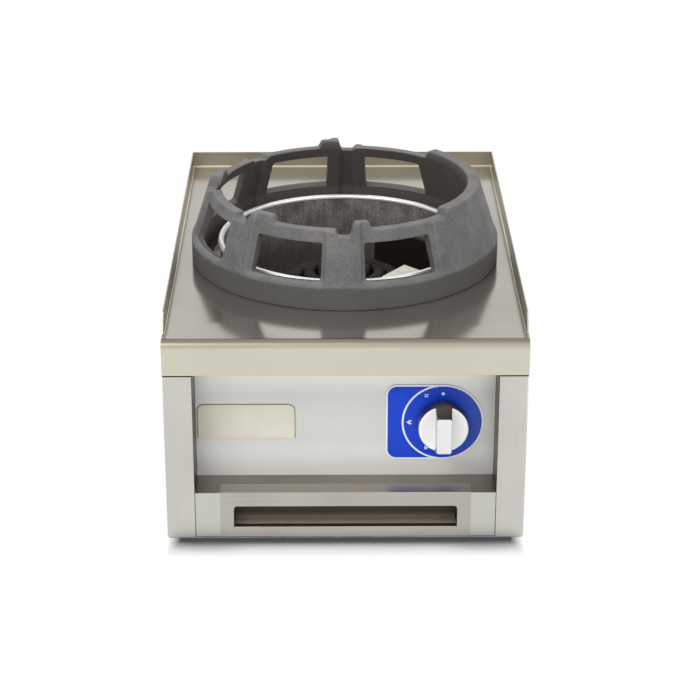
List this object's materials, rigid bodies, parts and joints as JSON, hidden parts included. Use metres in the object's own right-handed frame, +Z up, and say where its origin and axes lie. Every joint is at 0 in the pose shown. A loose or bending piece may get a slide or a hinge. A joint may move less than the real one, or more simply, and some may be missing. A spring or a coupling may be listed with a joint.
{
  "type": "wok range",
  "caption": "Countertop gas wok range: steel casing, cast ring with windows over a stepped burner in a round well, push-and-turn knob, drip drawer with finger slot.",
  "frame": {"origin": "on the counter, under the middle of the 400 by 600 mm work top", "axes": "+X to the cook's right, the cook stands at -Y, +Z up"},
  "size_m": [0.4, 0.6, 0.34],
  "materials": {
    "ground_steel": "brushed, fine grain",
    "panel_steel": "brushed lengthways",
    "well_steel": "heat-tinted, mottled",
    "rim_chrome": "polished",
    "cast_grey": "matt cast skin, fine grain",
    "burner_iron": "rough black casting",
    "brass": "machined",
    "galvanised": "galvanised sheet",
    "zinc": "zinc plated",
    "spring_steel": "bright wire",
    "knob_silver": "silver lacquered",
    "dial_blue": "blue enamel with white marks",
    "plate_cream": "satin cream",
    "copper": "copper tube",
    "rubber": "matt black",
    "aluminium": "cast"
  },
  "bodies": {
    "casing": {"top_plate": "ground_steel", "well_collar": "rim_chrome", "well_bowl": "well_steel", "burner_body": "burner_iron", "burner_cradle": "galvanised", "mixing_tube": "aluminium", "injector": "brass", "supply_pipe": "zinc", "gas_pipe": "zinc", "gas_inlet": "brass", "inlet_nut": "brass", "union_nuts": "brass", "valve_body": "brass", "valve_bonnet": "zinc", "pilot_shield": "rim_chrome", "pilot_bracket": "galvanised", "pilot_burner": "rim_chrome", "thermocouple": "rim_chrome", "pilot_pipe": "copper", "thermocouple_lead": "copper", "floor_pan": "galvanised", "side_panel_left": "ground_steel", "side_panel_right": "ground_steel", "rear_panel": "galvanised", "rear_screws": "zinc", "control_panel": "panel_steel", "drawer_ledge": "ground_steel", "foot_front_left": "rubber", "foot_front_right": "rubber", "foot_rear_left": "rubber", "foot_rear_right": "rubber", "drawer_rail_left": "galvanised", "drawer_rail_right": "galvanised", "dial_plate": "dial_blue", "name_plate": "plate_cream", "stem_spring": "spring_steel"},
    "wok_ring": {"wok_ring": "cast_grey"},
    "burner_head": {"burner_crown": "burner_iron", "burner_ring_middle": "burner_iron", "burner_ring_outer": "burner_iron"},
    "air_shutter": {"air_shutter": "zinc"},
    "valve_plug": {"valve_plug": "brass"},
    "knob": {"knob": "knob_silver", "valve_stem": "zinc"},
    "drawer": {"drawer_front": "ground_steel", "drawer_handle": "ground_steel", "drip_pan": "galvanised"}
  },
  "joints": [
    {"name": "knob_turn", "type": "hinge", "parent": "casing", "child": "valve_plug", "pos_m": [0.1093, -0.23, 0.127], "axis": [0, -1, 0], "range_deg": [0, 150]},
    {"name": "knob_push", "type": "slide", "parent": "valve_plug", "child": "knob", "axis": [0, 1, 0], "range_m": [0, 0.004], "stiffness_N_per_m": 600, "springref_m": -0.002, "deforming": ["stem_spring"]},
    {"name": "drawer_slide", "type": "slide", "parent": "casing", "child": "drawer", "axis": [0, -1, 0], "range_m": [0, 0.38]},
    {"name": "wok_ring_lift", "type": "slide", "parent": "casing", "child": "wok_ring", "axis": [0, 0, 1], "range_m": [0, 0.12]},
    {"name": "burner_head_lift", "type": "slide", "parent": "casing", "child": "burner_head", "axis": [0, 0, 1], "range_m": [0, 0.06]},
    {"name": "shutter_turn", "type": "hinge", "parent": "casing", "child": "air_shutter", "pos_m": [0, -0.178, 0.127], "axis": [0, -1, 0], "range_deg": [0, 45]}
  ]
}
